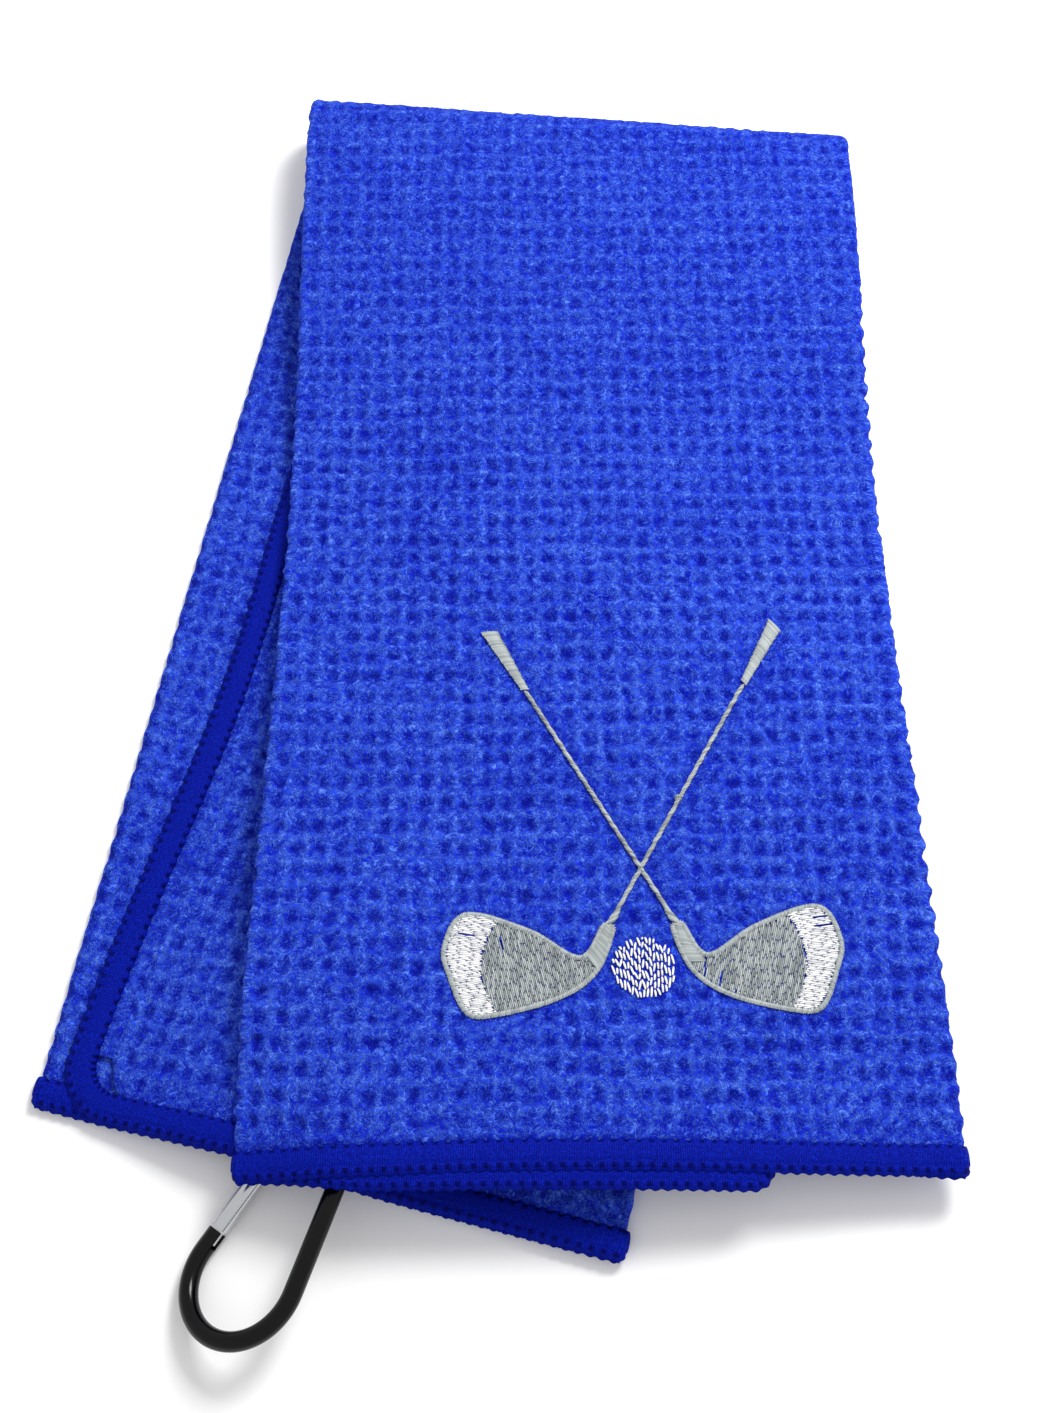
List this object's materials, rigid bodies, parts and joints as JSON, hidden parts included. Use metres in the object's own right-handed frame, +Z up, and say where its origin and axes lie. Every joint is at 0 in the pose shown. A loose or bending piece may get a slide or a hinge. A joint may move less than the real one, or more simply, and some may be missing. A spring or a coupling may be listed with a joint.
{
  "type": "golf towel",
  "caption": "Waffle-weave golf towel folded in three and over, with embroidered crossed clubs and ball, overlock hem, grommet and spring-gate carabiner.",
  "frame": {"origin": "middle of the bounding box's underside, on the surface the towel lies on", "axes": "+X across the front panel to the right as it is read, +Y towards the folded top, +Z up out of the embroidered face"},
  "size_m": [0.2059, 0.3522, 0.02],
  "materials": {
    "waffle_cloth": "matte, deep waffle weave with a short pile",
    "hem_thread": "dense overlocked thread",
    "grey_thread": "satin-stitched thread",
    "white_thread": "satin-stitched thread",
    "carabiner_body": "glossy black anodised",
    "gate_tube": "polished",
    "rivet": "satin",
    "plunger": "satin",
    "spring": "bright",
    "grommet": "nickel plated"
  },
  "bodies": {
    "back_half": {"back_left_flap": "waffle_cloth", "back_left_flap_end_hem": "hem_thread", "back_left_flap_side_hem": "hem_thread", "back_left_side_fold": "waffle_cloth", "back_middle_panel": "waffle_cloth", "back_middle_panel_end_hem": "hem_thread", "back_right_flap": "waffle_cloth", "back_right_flap_end_hem": "hem_thread", "back_right_flap_side_hem": "hem_thread", "back_right_side_fold": "waffle_cloth", "grommet_barrel": "grommet", "grommet_washer": "grommet"},
    "front_half": {"ball_stitching": "white_thread", "front_left_flap": "waffle_cloth", "front_left_flap_end_hem": "hem_thread", "front_left_flap_side_hem": "hem_thread", "front_left_side_fold": "waffle_cloth", "front_middle_panel": "waffle_cloth", "front_middle_panel_end_hem": "hem_thread", "front_right_flap": "waffle_cloth", "front_right_flap_end_hem": "hem_thread", "front_right_flap_side_hem": "hem_thread", "front_right_side_fold": "waffle_cloth", "left_grip_stitching": "grey_thread", "left_head_stitching": "grey_thread", "left_toe_stitching": "white_thread", "right_grip_stitching": "grey_thread", "right_head_stitching": "grey_thread", "right_toe_stitching": "white_thread", "shaft_stitching": "grey_thread"},
    "carabiner": {"carabiner_body": "carabiner_body", "gate_rivet": "rivet"},
    "gate": {"gate_tube": "gate_tube", "gate_plunger": "plunger", "gate_spring": "spring"}
  },
  "joints": [
    {"name": "top_fold", "type": "hinge", "parent": "back_half", "child": "front_half", "pos_m": [-0.05498, 0.1764, 0.01], "axis": [-0.9955, 0.0951, 0], "range_deg": [0, 180]},
    {"name": "carabiner_swing", "type": "hinge", "parent": "back_half", "child": "carabiner", "pos_m": [-0.03298, -0.1248, 0.0063], "axis": [0, 0, 1], "range_deg": [-3, 8]},
    {"name": "gate_hinge", "type": "hinge", "parent": "carabiner", "child": "gate", "pos_m": [-0.04416, -0.12986, 0.00324], "axis": [-0.3397, 0.1938, 0.9203], "range_deg": [0, 20], "stiffness_Nm_per_rad": 0.05, "springref_deg": -20.05}
  ]
}
